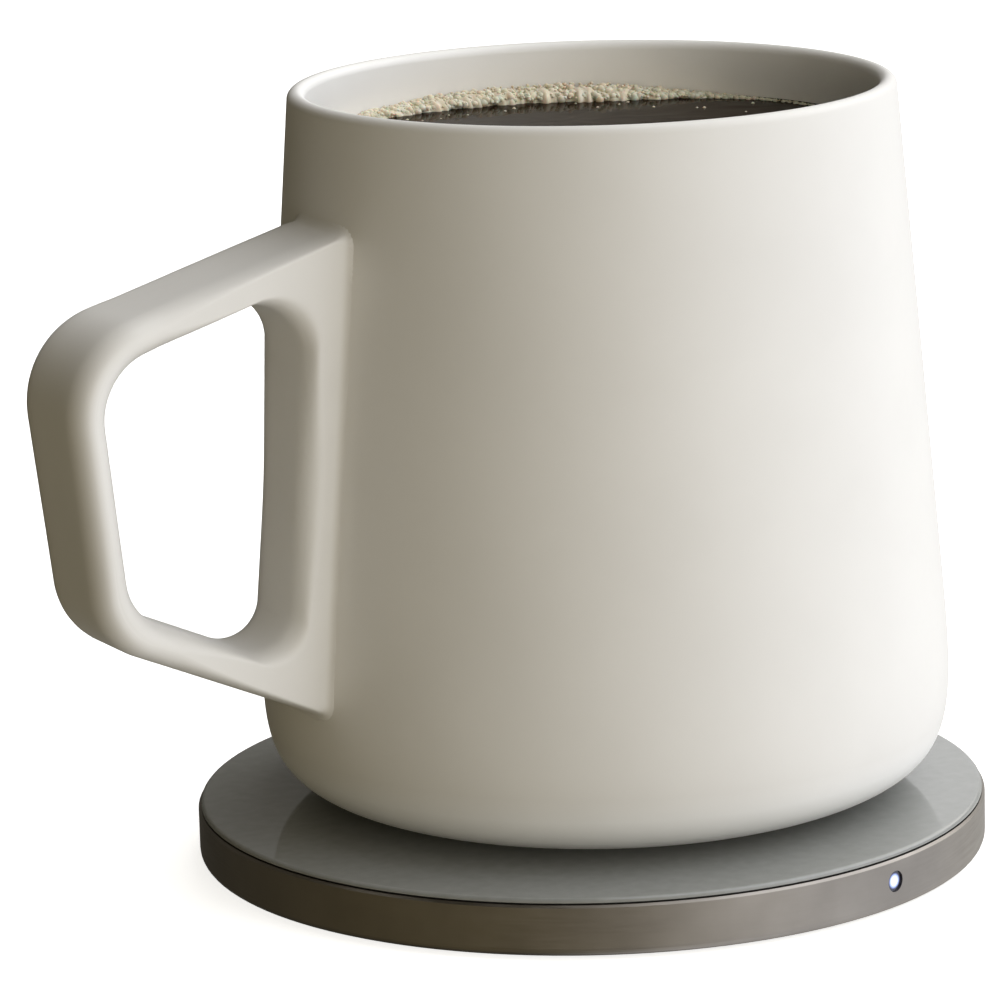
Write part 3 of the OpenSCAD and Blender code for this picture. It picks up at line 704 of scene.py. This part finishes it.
def make_handle():
    outer, opening = handle_outlines()
    middle, half = (outer + opening) / 2, (outer - opening) / 2
    half_t = np.linalg.norm(half, axis=1)
    edge_r = np.minimum(EDGE_R, FLATTEST_EDGE * (half_t - INSET))
    sections = np.array([handle_section(h - INSET, r) for h, r in zip(half_t, edge_r)])
    across = middle[:, None] + (half / half_t[:, None])[:, None] * sections[..., :1]
    sideways = sections[..., 1] * handle_half_w(across) + sections[..., 2]
    grid = joined_to_wall(np.stack([-across[..., 0], sideways, across[..., 1]], 2))
    points, faces = on_mug(grid.reshape(-1, 3)), tube_faces(*grid.shape[:2])
    handle = mesh_object("handle_loop", points, faces, CERAMIC, sharp_deg=50)
    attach(handle, "mug")
    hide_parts("mug_handle")


# ---------------------------------------------------------------- drink

DRINK_GAP = 0.05               # between the drink and the cup's wall
DRINK_DEPTH = 3.0              # of the piece below its surface
DRINK_TAPER = 0.3              # by which the piece is narrower at its bottom
CLIMB_H, CLIMB_W = 0.3, 1.4    # of the drink's edge where it rises to the wall
DRINK_SEGMENTS = 160
FLAT_RINGS, CLIMB_RINGS = 14, 10


def make_drink():
    edge = cup_wall_r(DRINK_LEVEL) - DRINK_GAP
    flat = edge - CLIMB_W
    rings = [*np.linspace(0, flat, FLAT_RINGS)]
    rings += [*(flat + CLIMB_W * np.linspace(1 / CLIMB_RINGS, 1, CLIMB_RINGS))]
    profile = [
        (r, DRINK_LEVEL + CLIMB_H * max(0, (r - edge + CLIMB_W) / CLIMB_W) ** 3) for r in rings
    ]
    bottom = DRINK_LEVEL - DRINK_DEPTH
    profile += [(edge - DRINK_TAPER, bottom), (0, bottom)]
    points, faces = revolve(profile, DRINK_SEGMENTS)
    surface = mesh_object("drink_surface", on_mug(points), faces, DRINK, sharp_deg=60)
    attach(surface, "mug")


# ---------------------------------------------------------------- foam

# The foam along the cup's wall. Each row is an angle in degrees, anticlockwise from the
# view's right, and the foam's width and height there, in millimetres.
FOAM_ROWS = (
    (30, 0.5, 0.2), (52, 0.7, 0.3), (62, 1.6, 0.5), (74, 4.2, 1.1), (88, 6.4, 1.9),
    (106, 5.4, 2.0), (122, 4.6, 1.8), (140, 3.4, 1.2), (160, 2.0, 0.7), (182, 0.5, 0.2),
)
FOAM_SPAN = (32, 182)
FOAM_GAP = 0.1                 # between the foam and the cup's wall
BUBBLE_TRIES = 2600
BUBBLE_RADII = (0.2, 0.24, 0.3, 0.38, 0.6)
BUBBLE_HEIGHTS = (0.7, 1)      # least and greatest, as a share of its width
BUBBLE_SINK = 0.42             # share of a bubble's radius that it lies lower
LARGE_BUBBLE_R = 0.4           # above which a bubble gets the finer ball
SPECKS = 26                    # small bubbles that float loose on the drink
SPECK_SPAN, SPECK_INWARD, SPECK_UP = (40, 175), (3, 14), -0.05
SPECK_RADII = (0.15, 0.3)
RIDGE_SECTIONS, RIDGE_POINTS = 260, 16
RIDGE_GAP = 0.05               # between the ridge and the outer edge of the foam
RIDGE_SHARE = 0.9              # of the foam's height that the ridge has without its bubbles
RIDGE_SINK, RIDGE_KEEL = 0.3, 0.4      # of its widest line, and of its bottom below that


def foam_size(deg):
    """Width and height of the foam at an angle."""
    degs, widths, heights = zip(*FOAM_ROWS)
    return np.interp(deg, degs, widths), np.interp(deg, degs, heights)


def foam_point(deg, inward, up):
    """A point given by its angle, its distance from the wall and its height over the drink."""
    a = math.radians(deg) - TURN
    radius = cup_wall_r(DRINK_LEVEL) - FOAM_GAP - inward
    return radius * math.cos(a), radius * math.sin(a), DRINK_LEVEL + up


def ball(level):
    """Points and faces of a ball of radius 1."""
    bm = bmesh.new()
    bmesh.ops.create_icosphere(bm, subdivisions=level, radius=1.0)
    points = np.array([v.co[:] for v in bm.verts])
    faces = [[v.index for v in f.verts] for f in bm.faces]
    bm.free()
    return points, faces


def make_bubbles(rng):
    coarse, fine = ball(1), ball(2)
    points, faces = [], []

    def bubble(deg, inward, up, r):
        shape, shape_faces = fine if r > LARGE_BUBBLE_R else coarse
        first = sum(len(p) for p in points)
        squash = np.array((1, 1, rng.uniform(*BUBBLE_HEIGHTS)))
        points.append(np.array(foam_point(deg, inward, up)) + shape * r * squash)
        faces.extend([[first + i for i in f] for f in shape_faces])

    for _ in range(BUBBLE_TRIES):
        deg = rng.uniform(*FOAM_SPAN)
        width, height = foam_size(deg)
        # Narrow foam has fewer and smaller bubbles, and all foam has more near the wall.
        chance, scale = 0.25 + width / 6, min(1, 0.5 + width / 5)
        if rng.random() > chance:
            continue
        r = rng.choice(BUBBLE_RADII) * scale
        inward = r + (width - r) * rng.random() ** 1.1
        crown = height * math.sqrt(max(0.04, 1 - (inward / (width + 0.6)) ** 2))
        up = crown * rng.uniform(0.55, 1) - BUBBLE_SINK * r
        bubble(deg, max(r * 0.8, inward), up, r)
    for _ in range(SPECKS):
        deg, inward = rng.uniform(*SPECK_SPAN), rng.uniform(*SPECK_INWARD)
        bubble(deg, inward, SPECK_UP, rng.uniform(*SPECK_RADII))
    cloud = mesh_object("foam_bubbles", on_mug(np.concatenate(points)), faces, FOAM)
    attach(cloud, "mug")


def make_ridge(rng):
    """The body of the foam, under its bubbles."""
    points = []
    for deg in np.linspace(*FOAM_SPAN, RIDGE_SECTIONS):
        width, height = foam_size(deg)
        waves = 0.1 * math.sin(deg * 0.7) + 0.05 * math.sin(deg * 2.3 + 1)
        wobble = 1 + waves + 0.04 * rng.uniform(-1, 1)
        for k in range(RIDGE_POINTS):
            t = math.pi * 2 * k / RIDGE_POINTS
            inward = RIDGE_GAP + width * wobble / 2 * (1 - math.cos(t))
            above = height * RIDGE_SHARE * wobble * max(0, math.sin(t))
            below = RIDGE_KEEL * max(0, -math.sin(t))
            points.append(foam_point(deg, inward, above - below - RIDGE_SINK))
    sides = tube_faces(RIDGE_SECTIONS, RIDGE_POINTS)[:-RIDGE_POINTS]
    faces = [(a, d, c, b) for a, b, c, d in sides]
    ends = range(RIDGE_POINTS), range(len(points) - RIDGE_POINTS, len(points))[::-1]
    faces += [tuple(end) for end in ends]
    ridge = mesh_object("foam_ridge", on_mug(points), faces, FOAM)
    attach(ridge, "mug")


def make_foam():
    rng = random.Random(7)
    make_bubbles(rng)
    make_ridge(rng)


make_cup()
make_handle()
make_drink()
make_foam()


# ---------------------------------------------------------------- stage and light

FLOOR_HALF = 6000

# The studio round the object. Each row is a direction in degrees, where 0 is towards the
# camera and 90 to its right, then the light's strength from below the horizon, from the
# sides and from high up, and its warmth.
STUDIO = (
    (-180, 0.07, 0.13, 0.25, 0.10),
    (-145, 0.05, 0.05, 0.12, 0.20),
    (-110, 0.08, 0.02, 0.06, 0.30),
    (-75, 0.13, 0.02, 0.04, 0.40),
    (-45, 0.17, 0.03, 0.04, 0.40),
    (-15, 0.18, 0.70, 0.08, 0.36),
    (15, 0.38, 2.05, 0.45, 0.15),
    (45, 1.20, 2.55, 1.10, 0.00),
    (75, 1.25, 0.65, 2.15, -0.05),
    (110, 1.10, 0.35, 2.60, -0.05),
    (145, 0.90, 0.50, 2.30, 0.05),
    (180, 0.25, 1.10, 0.80, 0.00),
)
BRIGHTEST = 3.0
BANDS = ((-0.05, 0.05), (0.22, 0.4))   # sines of height where one band passes into the next
RED_GAIN = 0.45                # how far red rises where blue falls by the whole warmth


def make_floor():
    """A pale floor that glows a little. It lights nothing and is in no reflection."""
    p = Paint("floor_pale", 0.6, Emission_Strength=0.8, Emission_Color=(1, 0.99, 0.97, 1))
    p.set(Base_Color=p.clouds(p.noise(3, 2), (0.86, 0.86, 0.86), (0.88, 0.88, 0.88)))
    p.bump(p.noise(400, 2), 0.01, 0.3)
    corners = ((-1, -1, 0), (1, -1, 0), (1, 1, 0), (-1, 1, 0))
    floor = mesh_object("floor", np.array(corners) * FLOOR_HALF, [(0, 1, 2, 3)], p.mat)
    floor.visible_diffuse = floor.visible_glossy = False


def make_world():
    world = bpy.data.worlds.new("studio")
    world.use_nodes = True
    sky = Nodes(world.node_tree)
    to_view = {"Vector": sky.add("TexCoord").outputs["Generated"], "Angle": TURN}
    turned = sky.add("VectorRotate", to_view, rotation_type="Z_AXIS").outputs["Vector"]
    right, away, up = sky.add("SeparateXYZ", {0: turned}).outputs
    azimuth = sky.math("ARCTAN2", right, sky.math("MULTIPLY", away, -1))
    share = sky.math("ADD", sky.math("DIVIDE", azimuth, 2 * math.pi), 0.5)

    def band(column):
        stops = []
        for row in STUDIO:
            level, warmth = row[column] / BRIGHTEST, row[-1]
            colour = (level * (1 + RED_GAIN * warmth), level, level * (1 - warmth))
            stops.append((row[0] / 360 + 0.5, colour))
        return sky.ramp(share, *stops)

    light = band(1)
    for column, heights in enumerate(BANDS, 2):
        light = sky.mix(sky.remap(up, heights), light, band(column))
    sky.put(world.node_tree.nodes["Background"], {"Color": light, "Strength": BRIGHTEST})
    SCENE.world = world


make_floor()
make_world()

SCENE.view_settings.view_transform = "Standard"
